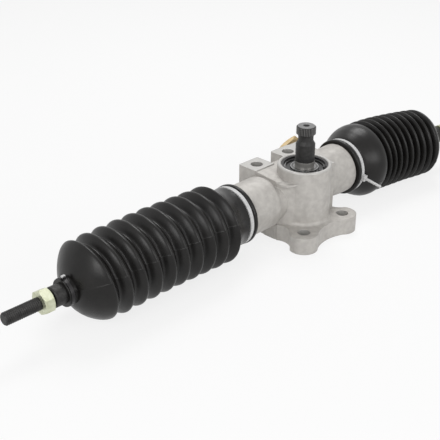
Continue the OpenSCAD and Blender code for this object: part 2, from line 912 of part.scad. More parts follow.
// Outside of count waves, from one crest to the last
function waves(x0, pitch, count) = [
    for (i = [0:count * wave_steps])
        [wave(i / wave_steps), x0 + pitch * i / wave_steps]
];

// Dome from the last crest down to the boot's small end. A power above 1 draws
// its quarter ellipse in towards a cone.
function dome(x0, x1) = [
    for (a = [10:10:80])
        [boot_neck_r + (crest_r - boot_neck_r) * pow(cos(a), dome_power), x0 + (x1 - x0) * pow(sin(a), dome_power)]
];

// Straight small end, with the shallow groove of its clip
function small_end(x0) = [
    [boot_neck_r, x0], [boot_neck_r, x0 + boot_neck_l * 0.35],
    [boot_neck_r - 0.6, x0 + boot_neck_l * 0.36],
    [boot_neck_r - 0.6, x0 + boot_neck_l * 0.4 + clip_w + 0.4],
    [boot_neck_r, x0 + boot_neck_l * 0.4 + clip_w + 0.5], [boot_neck_r, x0 + boot_neck_l]
];

// The same outline drawn one wall thickness further in, and back again
function inside(points, wall) = [for (i = [len(points) - 1:-1:0]) [points[i][0] - wall, points[i][1]]];

module boot_left() {
    first = bead_w / 2 + left_first_crest;
    last = first + left_pitch * (crest_count - 1);
    x0 = bead_x - bead_w / 2;
    neck_at = -ball_left_x + boot_neck_at - x0;
    neck_end_r = boot_end_r + 1;
    neck_end_x = first - left_pitch / 2;
    outside = concat(
        waves(first, left_pitch, crest_count - 1),
        dome(last, neck_at)
    );
    color([0.13, 0.13, 0.13])
        on_rack(-1)
            translate([x0, 0, 0])
                along_x()
                    rotate_extrude()
                        polygon(concat(
                            [[seat_r + fit_play, 0]],
                            big_end_out(neck_end_r, neck_end_x),
                            outside,
                            small_end(neck_at),
                            [[rod_r + bush_clear, neck_at + boot_neck_l], [rod_r + bush_clear, neck_at - 1]],
                            inside(outside, boot_wall),
                            [[neck_end_r - boot_wall, neck_end_x], [seat_r + fit_play, tube_half - x0 + 0.5]]
                        ));
}

// The squeezed right boot bends at its first crest, which is part of a hollow
// sphere round the ball centre. The flare lies along the rack axis, and the
// other crests lie along the tie rod's axis.
module boot_right() {
    x0 = bead_x - bead_w / 2;
    first = ball_right_x - x0;
    crest_in = crest_r - boot_wall;
    step = 0.1;
    back = 20;
    front = 1.5;
    reach = 3;
    last = right_pitch * (crest_count - 1);
    flare_r = boot_end_r + 0.8;
    flare_l = 8;
    flare_x = first - crest_r * sin(back + reach) - flare_l;
    outside = concat(
        [for (i = [2:(crest_count - 1) * wave_steps]) [wave(i / wave_steps), right_pitch * i / wave_steps]],
        dome(last, boot_neck_at)
    );
    color([0.13, 0.13, 0.13])
        union() {
            on_rack()
                translate([x0, 0, 0])
                    along_x()
                        rotate_extrude()
                            polygon(concat(
                                [[seat_r + fit_play, 0]],
                                big_end_out(flare_r, flare_x),
                                arc_points(crest_r - step, first, -back - reach, -back + reach),
                                arc_points(crest_in + step, first, -back + reach, -back - reach),
                                [[flare_r - boot_wall, flare_x], [seat_r + fit_play, tube_half - x0 + 0.5]]
                            ));
            difference() {
                on_rack()
                    translate([ball_right_x, 0, 0])
                        along_x()
                            rotate_extrude()
                                intersection() {
                                    difference() {
                                        circle(r = crest_r);
                                        circle(r = crest_in);
                                    }
                                    translate([0, -crest_r * sin(back)])
                                        square([2 * crest_r, crest_r * (sin(back) + sin(right_swing + 5))]);
                                }
                at_right()
                    translate([crest_r * sin(front), -2 * crest_r, -2 * crest_r])
                        cube(4 * crest_r);
            }
            at_right()
                along_x()
                    rotate_extrude()
                        polygon(concat(
                            arc_points(crest_r - step, 0, -reach, front + 0.5),
                            outside,
                            small_end(boot_neck_at),
                            [[rod_r + bush_clear, boot_neck_at + boot_neck_l], [rod_r + bush_clear, boot_neck_at - 1]],
                            inside(outside, boot_wall),
                            arc_points(crest_in + step, 0, front + 0.5, -reach)
                        ));
        }
}

// Points on an arc of radius r round x0 on the axis, between two angles
function arc_points(r, x0, a0, a1) = [
    for (i = [0:4])
        let (a = a0 + (a1 - a0) * i / 4)
            [r * cos(a), x0 + r * sin(a)]
];

// Cable tie round the boot's big end: a band with its square lock block and
// the loose tail that stands out of it. Each lock block sits at its own turn.
module boot_tie(side, block_turn, tail) {
    band_r = tie_seat_r + fit_play;
    block = [tie_w + 0.6, 5.5, 4.4];
    color([0.93, 0.93, 0.91])
        on_rack(side)
            translate([tie_x, 0, 0])
                difference() {
                    union() {
                        bar_x(band_r + tie_t, -tie_w / 2, tie_w / 2);
                        rotate([block_turn, 0, 0]) {
                            translate([-block[0] / 2, -block[1] / 2, band_r + 0.4])
                                cube(block);
                            translate([-tie_w / 2 + 0.4, -tie_t / 2, band_r + 0.4])
                                cube([tie_w - 0.8, tie_t, block[2] + tail]);
                        }
                    }
                    bar_x(band_r, -tie_w, tie_w);
                }
}

rack_housing();
lower_bush();
bearing_outer_ring();
bearing_circlip();
rack_bush(-1);  // rack_bush_left
rack_bush(1);  // rack_bush_right
guide_yoke();
guide_spring();
guide_plug();
guide_lock_nut();
boot_left();
boot_right();
boot_tie(-1, left_block_turn, 2);  // boot_tie_left
boot_tie(1, right_block_turn, tie_tail);  // boot_tie_right
rack_bar();
on_rack(-1) translate([-ball_left_x, 0, 0]) ball_socket();  // ball_socket_left
on_rack(1) translate([ball_right_x, 0, 0]) ball_socket();  // ball_socket_right
at_left() ball_seat();  // ball_seat_left
at_right() ball_seat();  // ball_seat_right
at_left() tie_rod();  // tie_rod_left
at_right() tie_rod();  // tie_rod_right
at_left() jam_nut();  // jam_nut_left
at_right() jam_nut();  // jam_nut_right
at_left() boot_clip();  // boot_clip_left
at_right() boot_clip();  // boot_clip_right
pinion_shaft();
bearing_inner_ring();
bearing_cage();
bearing_balls();
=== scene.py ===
# %% [markdown]
# A rack-and-pinion steering gear, dressed over its fixed CAD frame.
# The frame already holds every piece as a plain solid at its true size. This
# lesson gives each one a finish, and works out as numpy surfaces what the
# solids only hint at: the folded rubber boots and the rolled threads.

# %% Load the frame and note its box
import math
import bmesh
import bpy
import numpy as np
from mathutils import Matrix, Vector


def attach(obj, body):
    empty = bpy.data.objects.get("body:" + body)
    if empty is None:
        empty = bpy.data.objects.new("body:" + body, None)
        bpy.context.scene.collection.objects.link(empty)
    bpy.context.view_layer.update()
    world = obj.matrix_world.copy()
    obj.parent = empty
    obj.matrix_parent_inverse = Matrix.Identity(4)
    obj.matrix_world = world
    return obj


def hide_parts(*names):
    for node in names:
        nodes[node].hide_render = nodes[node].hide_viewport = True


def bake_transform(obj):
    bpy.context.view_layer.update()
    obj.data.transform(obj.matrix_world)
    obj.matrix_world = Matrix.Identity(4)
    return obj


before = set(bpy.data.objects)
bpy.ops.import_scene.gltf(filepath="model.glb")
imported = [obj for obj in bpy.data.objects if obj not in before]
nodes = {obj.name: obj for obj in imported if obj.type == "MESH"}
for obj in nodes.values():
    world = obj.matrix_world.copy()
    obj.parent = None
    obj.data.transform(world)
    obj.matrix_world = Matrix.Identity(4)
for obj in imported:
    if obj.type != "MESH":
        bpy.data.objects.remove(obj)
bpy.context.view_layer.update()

MM = 0.001

# %% [markdown]
# The camera stands where the photographer's did, to the front left and above.
# Its place was found by matching the round edges of the gear, so it needs only
# a point, two angles and a lens.

# %% Camera
CAMERA_PLACE = (-0.5397, -0.4402, 0.3666)
CAMERA_TURN = math.radians(44.82)
CAMERA_DROP = math.radians(27.33)
camera_data = bpy.data.cameras.new("camera")
camera_data.sensor_width = 36.0
camera_data.lens = 72.0
camera_data.clip_start = 0.01
camera = bpy.data.objects.new("camera", camera_data)
camera.location = CAMERA_PLACE
view_line = Vector((
    math.cos(CAMERA_DROP) * math.sin(CAMERA_TURN),
    math.cos(CAMERA_DROP) * math.cos(CAMERA_TURN),
    -math.sin(CAMERA_DROP),
))
camera.rotation_euler = view_line.to_track_quat("-Z", "Y").to_euler()
bpy.context.scene.collection.objects.link(camera)
bpy.context.scene.camera = camera
bpy.context.scene.view_settings.view_transform = "Standard"
print("camera at", CAMERA_PLACE, "with a lens of", camera_data.lens, "mm")

# %% [markdown]
# Rubber and bare metal are read by their reflections. A point lamp would leave
# small hard spots on them, so the light comes from soft panels: one to the
# left, one in front, and one high behind on the right that puts a sheen along
# the top of the boots.

# %% Light panels
def panel(name, place, aim, size, watts):
    """A square soft light of the given size, at place, pointing at aim."""
    light = bpy.data.lights.new(name, "AREA")
    light.size = size
    light.energy = watts
    lamp = bpy.data.objects.new(name, light)
    lamp.location = place
    lamp.rotation_euler = (Vector(aim) - Vector(place)).to_track_quat("-Z", "Y").to_euler()
    bpy.context.scene.collection.objects.link(lamp)
    return lamp


GEAR, LEFT_BOOT = (0, 0, 0.03), (-0.16, 0, 0.03)
panels = [
    panel("left_panel", (-1.0, -0.35, 0.6), GEAR, 0.6, 4.6),
    panel("front_panel", (0.0, -1.15, 0.5), GEAR, 0.6, 3.6),
    panel("right_panel", (0.42, 0.38, 1.0), LEFT_BOOT, 0.5, 5),
]
print("panels:", ", ".join(f"{lamp.name} {lamp.data.energy:.1f} W" for lamp in panels))

# %% [markdown]
# The room round the gear is the world itself. It is white to the camera and in
# reflections, and much dimmer as a light, which keeps the background white
# without washing out the metal.

# %% White room
LIGHT_OF_ROOM, WHITE = 0.36, 1.0


def seen_rays(tree):
    """1 for rays that show the backdrop, straight or in gloss or glass, else 0."""
    path = tree.nodes.new("ShaderNodeLightPath")
    total = path.outputs["Is Camera Ray"]
    for word in ("Is Glossy Ray", "Is Transmission Ray"):
        either = tree.nodes.new("ShaderNodeMath")
        either.operation = "MAXIMUM"
        tree.links.new(total, either.inputs[0])
        tree.links.new(path.outputs[word], either.inputs[1])
        total = either.outputs[0]
    return total


world = bpy.data.worlds.new("studio")
bpy.context.scene.world = world
world.use_nodes = True
tree = world.node_tree
back = tree.nodes["Background"]
back.inputs["Color"].default_value = (1, 1, 1, 1)
strength = tree.nodes.new("ShaderNodeMapRange")
strength.inputs["To Min"].default_value = LIGHT_OF_ROOM
strength.inputs["To Max"].default_value = WHITE
tree.links.new(seen_rays(tree), strength.inputs["Value"])
tree.links.new(strength.outputs["Result"], back.inputs["Strength"])
print("room: white to the camera, and", LIGHT_OF_ROOM, "of that as a light")

# %% [markdown]
# The floor is a plain pale sheet. It glows white to the camera, and a little
# of its plain shading stays in the mix, which carries the soft shadow under
# the gear.

# %% Floor
FLOOR_HALF, FLOOR_LEVEL = 6.0, -0.0004
FLOOR_GLOW = 0.8


def make_floor(half, level):
    """A flat square of half-width half, a hair below the mounting face."""
    mesh = bpy.data.meshes.new("floor")
    corners = [(-half, -half), (half, -half), (half, half), (-half, half)]
    mesh.from_pydata([(x, y, level) for x, y in corners], [], [(0, 1, 2, 3)])
    floor = bpy.data.objects.new("floor", mesh)
    bpy.context.scene.collection.objects.link(floor)
    return floor


floor = make_floor(FLOOR_HALF, FLOOR_LEVEL)
floor_material = bpy.data.materials.new("pale_floor")
floor_material.use_nodes = True
tree = floor_material.node_tree
shader = tree.nodes["Principled BSDF"]
shader.inputs["Base Color"].default_value = (0.93, 0.93, 0.93, 1)
shader.inputs["Roughness"].default_value = 0.9
glow = tree.nodes.new("ShaderNodeEmission")
glow.inputs["Strength"].default_value = WHITE
mix = tree.nodes.new("ShaderNodeMixShader")
share = tree.nodes.new("ShaderNodeMath")
share.operation = "MULTIPLY"
share.inputs[1].default_value = FLOOR_GLOW
tree.links.new(seen_rays(tree), share.inputs[0])
tree.links.new(share.outputs[0], mix.inputs[0])
tree.links.new(shader.outputs[0], mix.inputs[1])
tree.links.new(glow.outputs[0], mix.inputs[2])
tree.links.new(mix.outputs[0], tree.nodes["Material Output"].inputs["Surface"])
floor.data.materials.append(floor_material)
print("floor:", 2 * FLOOR_HALF, "m wide at", FLOOR_LEVEL, "m")

# %% [markdown]
# Every finish starts from the same small recipe: a Principled shader, a fine
# noise that roughens and tints it, and a bump. Painted textures would need
# each piece unwrapped. Noise on Object coordinates needs nothing from the
# piece, and takes the real size of its grain in millimetres.

# %% Finish helper
def noise(tree, grain_mm, detail=4.0):
    """A noise texture on Object coordinates whose cells are about grain_mm wide."""
    place = tree.nodes.new("ShaderNodeTexCoord")
    texture = tree.nodes.new("ShaderNodeTexNoise")
    texture.inputs["Scale"].default_value = 1.0 / (grain_mm * MM)
    texture.inputs["Detail"].default_value = detail
    tree.links.new(place.outputs["Object"], texture.inputs["Vector"])
    return texture.outputs["Fac"]


def ramp(tree, source, low, high, start=0.35, end=0.65):
    """Colours from low to high as source goes from start to end."""
    colours = tree.nodes.new("ShaderNodeValToRGB")
    colours.color_ramp.elements[0].position = start
    colours.color_ramp.elements[1].position = end
    colours.color_ramp.elements[0].color = (*low, 1)
    colours.color_ramp.elements[1].color = (*high, 1)
    tree.links.new(source, colours.inputs["Fac"])
    return colours.outputs["Color"]


def spread(tree, source, low, high, start=0.3, end=0.7):
    """A number from low to high as source goes from start to end."""
    change = tree.nodes.new("ShaderNodeMapRange")
    limits = {"From Min": start, "From Max": end, "To Min": low, "To Max": high}
    for word, given in limits.items():
        change.inputs[word].default_value = given
    tree.links.new(source, change.inputs["Value"])
    return change.outputs["Result"]


def finish(
    name, low, high, grain_mm, rough,
    metal=0.0, bump_mm=0.0, bump_grain_mm=1.0, edge_mm=0.0, spec=0.5,
):
    """A material whose colour wanders from low to high and whose roughness
    wanders over the pair rough, with a bump of bump_mm and edges rounded by
    edge_mm. spec is how strongly a non-metal mirrors."""
    material = bpy.data.materials.new(name)
    material.use_nodes = True
    tree = material.node_tree
    shader = tree.nodes["Principled BSDF"]
    shader.inputs["Metallic"].default_value = metal
    shader.inputs["Specular IOR Level"].default_value = spec
    stain = noise(tree, grain_mm)
    tree.links.new(ramp(tree, stain, low, high), shader.inputs["Base Color"])
    tree.links.new(spread(tree, noise(tree, grain_mm * 0.6), *rough), shader.inputs["Roughness"])
    normal = None
    if edge_mm:
        edge = tree.nodes.new("ShaderNodeBevel")
        edge.samples = 6
        edge.inputs["Radius"].default_value = edge_mm * MM
        normal = edge.outputs["Normal"]
    if bump_mm:
        bump = tree.nodes.new("ShaderNodeBump")
        bump.inputs["Distance"].default_value = bump_mm * MM
        bump.inputs["Strength"].default_value = 1.0
        tree.links.new(noise(tree, bump_grain_mm, 6.0), bump.inputs["Height"])
        if normal:
            tree.links.new(normal, bump.inputs["Normal"])
        normal = bump.outputs["Normal"]
    if normal:
        tree.links.new(normal, shader.inputs["Normal"])
    return material


# %% [markdown]
# Some pieces carry two finishes: a machined rim on a casting, or a ground
# journal on a blackened shaft. The faces of the solids aren't cut along those
# borders, so a second material slot can't follow them. A mark can: it is a
# number from 0 to 1 worked out from the place of a point on the piece, and the
# second finish shows where it is 1.

# %% Marks worked out from a place
def place_mm(tree):
    """The Object coordinates of a point, as three numbers in millimetres."""
    place = tree.nodes.new("ShaderNodeTexCoord")
    scale = tree.nodes.new("ShaderNodeVectorMath")
    scale.operation = "SCALE"
    scale.inputs["Scale"].default_value = 1 / MM
    parts = tree.nodes.new("ShaderNodeSeparateXYZ")
    tree.links.new(place.outputs["Object"], scale.inputs[0])
    tree.links.new(scale.outputs[0], parts.inputs[0])
    return parts.outputs


def work(tree, kind, *given):
    """One Math node. Each given value is a number or an output of another node."""
    step = tree.nodes.new("ShaderNodeMath")
    step.operation = kind
    for socket, value in zip(step.inputs, given):
        if isinstance(value, (int, float)):
            socket.default_value = value
        else:
            tree.links.new(value, socket)
    return step.outputs[0]


def distance(tree, first, second, centre, mirrored=False):
    """How far the pair (first, second) lies from centre, in mm. With mirrored,
    first counts the same on both sides of zero."""
    if mirrored:
        first = work(tree, "ABSOLUTE", first)
    gaps = [
        work(tree, "SUBTRACT", value, middle) for value, middle in zip((first, second), centre)
    ]
    squares = [work(tree, "MULTIPLY", gap, gap) for gap in gaps]
    return work(tree, "SQRT", work(tree, "ADD", *squares))


def between(tree, value, low, high, soft=0.1):
    """1 where value lies between low and high, fading over soft to each side."""
    above = spread(tree, value, 0, 1, low - soft, low + soft)
    below = spread(tree, value, 1, 0, high - soft, high + soft)
    return work(tree, "MULTIPLY", above, below)


def facing_up(tree):
    """1 on faces that look straight up."""
    shape = tree.nodes.new("ShaderNodeNewGeometry")
    parts = tree.nodes.new("ShaderNodeSeparateXYZ")
    tree.links.new(shape.outputs["Normal"], parts.inputs[0])
    return spread(tree, parts.outputs["Z"], 0, 1, 0.9, 0.97)


def add_mark(material, mark, colour, rough, metal):
    """Mixes colour, roughness and metal into a material where the mark is 1."""
    tree = material.node_tree
    shader = tree.nodes["Principled BSDF"]
    targets = {"Base Color": (*colour, 1), "Roughness": rough, "Metallic": metal}
    for word, target in targets.items():
        socket = shader.inputs[word]
        mix = tree.nodes.new("ShaderNodeMix")
        is_colour = word == "Base Color"
        mix.data_type = "RGBA" if is_colour else "FLOAT"
        first, second, out = (6, 7, 2) if is_colour else (2, 3, 0)
        if socket.links:
            tree.links.new(socket.links[0].from_socket, mix.inputs[first])
        else:
            mix.inputs[first].default_value = socket.default_value
        mix.inputs[second].default_value = target
        tree.links.new(mark, mix.inputs[0])
        tree.links.new(mix.outputs[out], socket)


# %% [markdown]
# The finishes, from the photograph: sand-cast aluminium with a warm grey skin,
# black rubber with a soft sheen, dark phosphated steel, bright turned steel,
# pale and yellow zinc, and white nylon ties.

# %% Finishes
cast_skin = finish(
    "cast_aluminium", (0.455, 0.435, 0.41), (0.535, 0.515, 0.485), 5, (0.48, 0.62),
    metal=0.25, bump_mm=0.09, bump_grain_mm=0.7, edge_mm=1.2,
)
cast_yoke = finish(
    "cast_yoke", (0.44, 0.43, 0.41), (0.52, 0.51, 0.48), 5, (0.4, 0.5), metal=0.6,
)
boot_rubber = finish(
    "boot_rubber", (0.0055, 0.005, 0.0047), (0.011, 0.0102, 0.0096), 14, (0.27, 0.38),
    bump_mm=0.04, bump_grain_mm=2.6, spec=0.28,
)
tie_nylon = finish(
    "tie_nylon", (0.6, 0.6, 0.6), (0.68, 0.68, 0.68), 6, (0.45, 0.55), edge_mm=0.3,
)
phosphate = finish(
    "phosphated_steel", (0.0135, 0.013, 0.0125), (0.027, 0.0262, 0.0254), 2.5, (0.42, 0.58),
    metal=0.3, bump_mm=0.03, bump_grain_mm=0.5, edge_mm=0.25,
)
shaft_steel = phosphate.copy()
shaft_steel.name = "pinion_shaft_steel"
turned = finish(
    "turned_steel", (0.5, 0.5, 0.5), (0.62, 0.61, 0.6), 3, (0.22, 0.34),
    metal=1.0, edge_mm=0.2,
)
pale_zinc = finish(
    "pale_zinc", (0.52, 0.54, 0.38), (0.66, 0.68, 0.52), 4, (0.3, 0.42),
    metal=0.7, edge_mm=0.3,
)
yellow_zinc = finish(
    "yellow_zinc", (0.42, 0.3, 0.14), (0.52, 0.4, 0.22), 5, (0.4, 0.5),
    metal=0.4, edge_mm=0.4,
)
bearing_steel = finish(
    "bearing_steel", (0.07, 0.07, 0.07), (0.12, 0.118, 0.115), 4, (0.25, 0.35),
    metal=0.8, edge_mm=0.2,
)
ball_steel = finish("ball_steel", (0.3, 0.3, 0.3), (0.4, 0.4, 0.4), 4, (0.1, 0.2), metal=1.0)
blued_spring = finish(
    "blued_spring", (0.02, 0.019, 0.02), (0.035, 0.033, 0.034), 3, (0.3, 0.42),
    metal=0.5, edge_mm=0.15,
)
clip_steel = blued_spring.copy()
clip_steel.name = "clip_steel"
bush_bronze = finish(
    "bush_bronze", (0.42, 0.27, 0.12), (0.5, 0.34, 0.16), 3, (0.35, 0.45), metal=0.9,
)
bush_plastic = finish("bush_plastic", (0.02, 0.02, 0.02), (0.03, 0.03, 0.03), 5, (0.4, 0.5))
seat_nylon = finish("seat_nylon", (0.7, 0.7, 0.64), (0.76, 0.76, 0.7), 5, (0.3, 0.42))
print("materials now:", ", ".join(material.name for material in bpy.data.materials))

# %% [markdown]
# The housing is cast, and then a few places are cut clean: the rim of the
# tower, the tops of the two rear bosses, the four bolt holes and the seat of
# the bearing. The bolt holes are painted a little darker, as painted shade
# inside them, and the bearing's seat is painted dark grey, as painted shade
# down in its bore. Each is found by its height or by its distance from an axis.
# No distance is below 0, so a range that starts at INSIDE takes in the axis too.

# %% Machined places, and painted shade in the holes and the bearing's seat
TOWER_TOP, RIM_DEEP, BOSS_TOP = 64.0, 1.1, 57.5
FRONT_HOLE, REAR_HOLE, HOLE_R = (26.0, -24.0), (20.5, 36.8), 5.42
SHAFT_AXIS, SEAT_R, SEAT_FROM, SEAT_TO = (0, 0), 22, 40, 63.1
INSIDE = -1

tree = cast_skin.node_tree
x, y, z = place_mm(tree)
rim = between(tree, z, TOWER_TOP - RIM_DEEP, TOWER_TOP + 1)
boss_face = work(tree, "MULTIPLY", facing_up(tree), between(tree, z, BOSS_TOP - 0.2, TOWER_TOP))
add_mark(cast_skin, work(tree, "MAXIMUM", rim, boss_face), (0.5, 0.49, 0.47), 0.38, 0.45)
for middle in (FRONT_HOLE, REAR_HOLE):
    from_hole = distance(tree, x, y, middle, mirrored=True)
    # painted shade: the walls of each bolt hole are a little darker than the casting
    bore = between(tree, from_hole, INSIDE, HOLE_R, 0.05)
    add_mark(cast_skin, bore, (0.44, 0.43, 0.41), 0.5, 0.2)
# painted shade: the bore of the bearing's seat is painted dark grey
bearing_seat_shade = work(
    tree, "MULTIPLY", between(tree, distance(tree, x, y, SHAFT_AXIS), INSIDE, SEAT_R),
    between(tree, z, SEAT_FROM, SEAT_TO),
)
add_mark(cast_skin, bearing_seat_shade, (0.16, 0.155, 0.15), 0.4, 0.8)
print("machined: rim, two boss faces, four holes and the bearing's seat")

# %% [markdown]
# The pinion shaft is blackened above its ground journal. The tips of its
# splines and its end face are painted lighter, as a painted highlight where
# they catch the light, and the centre hole stays dark.

# %% Bright and dark places on the shaft
SHAFT_TOP, JOURNAL_TOP = 98.0, 66.5
SPLINE_TIP_R, SPLINE_LONG, CENTRE_HOLE_R = 7.95, 6.9, 2.2

tree = shaft_steel.node_tree
x, y, z = place_mm(tree)
add_mark(shaft_steel, between(tree, z, -10, JOURNAL_TOP), (0.4, 0.39, 0.37), 0.35, 0.7)
# painted highlight: the tips of the splines are painted lighter
spline_tip_highlight = work(
    tree, "MULTIPLY", between(tree, distance(tree, x, y, SHAFT_AXIS), SPLINE_TIP_R, 9),
    between(tree, z, SHAFT_TOP - SPLINE_LONG, SHAFT_TOP),
)
add_mark(shaft_steel, spline_tip_highlight, (0.17, 0.167, 0.163), 0.42, 0.4)
# painted highlight: the end face, which looks up, is painted lighter
end_face_highlight = between(tree, z, SHAFT_TOP - 0.2, SHAFT_TOP + 1)
add_mark(shaft_steel, end_face_highlight, (0.17, 0.17, 0.17), 0.45, 0.5)
centre_hole = between(tree, distance(tree, x, y, SHAFT_AXIS), INSIDE, CENTRE_HOLE_R, 0.2)
add_mark(shaft_steel, centre_hole, (0.02, 0.02, 0.02), 0.5, 0.3)
print("bright journal up to", JOURNAL_TOP, "mm and splines from", SHAFT_TOP - SPLINE_LONG, "mm")

# %% [markdown]
# Small pieces are told apart by painted light: a painted highlight along the
# corners of the bearing's two rings and on the ear of each boot clip, and
# painted shade between the fine teeth of the nylon ties, which are a sine of
# the angle round the rack bar.

# %% Painted highlights on the bearing and clips, painted shade on the ties
RACK_Y, RACK_Z = 16.0, 33.5
RING_EDGES, EDGE_WIDE = (9.1, 11.8, 16.8, 19.6), 0.22
CLIP_EAR_FROM, CLIP_EAR_TO = 45.8, 60
TIE_TEETH = 67.0

tree = bearing_steel.node_tree
x, y, z = place_mm(tree)
from_shaft = distance(tree, x, y, SHAFT_AXIS)
for ring_edge in RING_EDGES:
    # painted highlight: a thin light line along each corner of the bearing's rings
    ring_highlight = between(tree, from_shaft, ring_edge - EDGE_WIDE, ring_edge + EDGE_WIDE)
    add_mark(bearing_steel, ring_highlight, (0.5, 0.5, 0.5), 0.25, 1.0)

tree = clip_steel.node_tree
x, y, z = place_mm(tree)
# painted highlight: the ear on top of each boot clip is painted bright
add_mark(clip_steel, between(tree, z, CLIP_EAR_FROM, CLIP_EAR_TO), (0.55, 0.55, 0.55), 0.3, 1.0)

tree = tie_nylon.node_tree
x, y, z = place_mm(tree)
turn = work(tree, "ARCTAN2", work(tree, "SUBTRACT", z, RACK_Z), work(tree, "SUBTRACT", y, RACK_Y))
# painted shade: darker stripes between the teeth of each tie
tooth_shade = spread(tree, work(tree, "SINE", work(tree, "MULTIPLY", turn, TIE_TEETH)), 0, 0.5, 0.5, 0.9)
add_mark(tie_nylon, tooth_shade, (0.52, 0.52, 0.52), 0.5, 0.0)
print("ring edges:", len(RING_EDGES), "and tie teeth:", int(TIE_TEETH))

# %% [markdown]
# Every piece of the frame gets one of these finishes. A table from piece to
# finish is the plainest way, and shows at a glance that none is left out.

# %% The finish of each piece
NODE_FINISH = {
    "rack_housing": cast_skin, "guide_yoke": cast_yoke, "lower_bush": bush_bronze,
    "bearing_outer_ring": bearing_steel, "bearing_inner_ring": bearing_steel,
    "bearing_balls": ball_steel, "bearing_cage": bush_plastic, "bearing_circlip": blued_spring,
    "rack_bush_left": bush_plastic, "rack_bush_right": bush_plastic,
    "guide_spring": blued_spring, "guide_plug": turned, "guide_lock_nut": yellow_zinc,
    "boot_left": boot_rubber, "boot_right": boot_rubber,
    "boot_tie_left": tie_nylon, "boot_tie_right": tie_nylon,
    "rack_bar": turned, "ball_socket_left": phosphate, "ball_socket_right": phosphate,
    "ball_seat_left": seat_nylon, "ball_seat_right": seat_nylon,
    "tie_rod_left": phosphate, "tie_rod_right": phosphate,
    "jam_nut_left": pale_zinc, "jam_nut_right": pale_zinc,
    "boot_clip_left": clip_steel, "boot_clip_right": clip_steel, "pinion_shaft": shaft_steel,
}
for name, material in NODE_FINISH.items():
    piece = nodes[name]
    piece.data.materials.clear()
    piece.data.materials.append(material)
print("finished nodes:", len(NODE_FINISH), "of", len(nodes))

# %% [markdown]
# The rubber boots are the largest thing in the photograph. Each is one moulded
# skin, folded ten times, and it must stretch with the rack bar and tilt with
# the tie rod. So each fold is a closed ring of its own, cut at the bottom of
# the valley where the seam is hidden at rest. A profile could be turned by a
# Screw modifier, but only about a straight axis. A grid of two parameters, the
# way round and the way along a closed profile, can also bend, sag and lean.

# %% Surfaces from grids
def grid_piece(name, grid, close_rows=True, sharp=40):
    """Makes a piece from a grid of points in mm, shaped rows x around x 3. Each
    cell is one face. The way round always closes, and close_rows joins the last
    row to the first. Points that fall together, as at a pole, are merged."""
    rows, around, _ = grid.shape
    last = rows if close_rows else rows - 1
    row, turn = np.meshgrid(np.arange(last), np.arange(around), indexing="ij")
    next_row, next_turn = (row + 1) % rows, (turn + 1) % around
    faces = np.stack([
        row * around + turn, row * around + next_turn,
        next_row * around + next_turn, next_row * around + turn,
    ], axis=-1).reshape(-1, 4)
    mesh = bpy.data.meshes.new(name)
    mesh.from_pydata((grid.reshape(-1, 3) * MM).tolist(), [], faces.tolist())
    shell = bmesh.new()
    shell.from_mesh(mesh)
    bmesh.ops.remove_doubles(shell, verts=shell.verts, dist=1e-7)
    bmesh.ops.recalc_face_normals(shell, faces=shell.faces)
    shell.to_mesh(mesh)
    shell.free()
    mesh.shade_smooth()
    mesh.set_sharp_from_angle(angle=math.radians(sharp))
    piece = bpy.data.objects.new(name, mesh)
    bpy.context.scene.collection.objects.link(piece)
    return piece


def turn_angles(count, marks, width):
    """Angles round a ring: count even steps, and a few close ones within width
    of each mark, so that a fine moulded line can be drawn there."""
    even = np.linspace(0, 2 * np.pi, count, endpoint=False)
    fine = [(mark + width * np.linspace(-1, 1, 9)) % (2 * np.pi) for mark in marks]
    return np.unique(np.round(np.concatenate([even, *fine]), 5))


# %% [markdown]
# A boot's centre line leaves the housing along the rack bar, and ends on its
# tie rod. On the right it bends by 11 degrees to the front. The folds share the
# bend, so they open on one side like a fan. Rubber also sags or stands up a
# little between its two ends, as the photograph's outlines show. A Curve
# modifier would bend a straight boot too, but a line that is worked out also
# says where each ring's share of the travel starts and ends.

# %% Centre lines
RACK_AXIS = np.array([0.0, RACK_Y, RACK_Z])
BALL_LEFT, BALL_RIGHT = 152.0, 104.0
RIGHT_SWING = math.radians(11)
BEND_FROM, NECK_AT = 94.0, 86.0
LEFT_LIFT = (
    [78, 96, 110, 124, 138, 152, 166, 179, 193, 207, 221, 234],
    [0, -0.5, -0.2, 0.3, 0.65, 1.0, 1.05, 1.0, 0.75, 0.45, 0.55, 0],
)
RIGHT_LIFT = (
    [78, 84, 90, 101, 118, 134, 150, 168, 176, 188],
    [0, -1.2, -1.7, -0.8, -0.9, -1.0, -1.0, -1.5, -1.7, 0],
)
LEFT_LEAN = ([80, 96, 124, 152, 179, 193, 221, 237], [0, 1.0, 2.0, 4.0, 6.0, 7.0, 8.0, 0])
RIGHT_LEAN = ([80, 188], [0, 0])


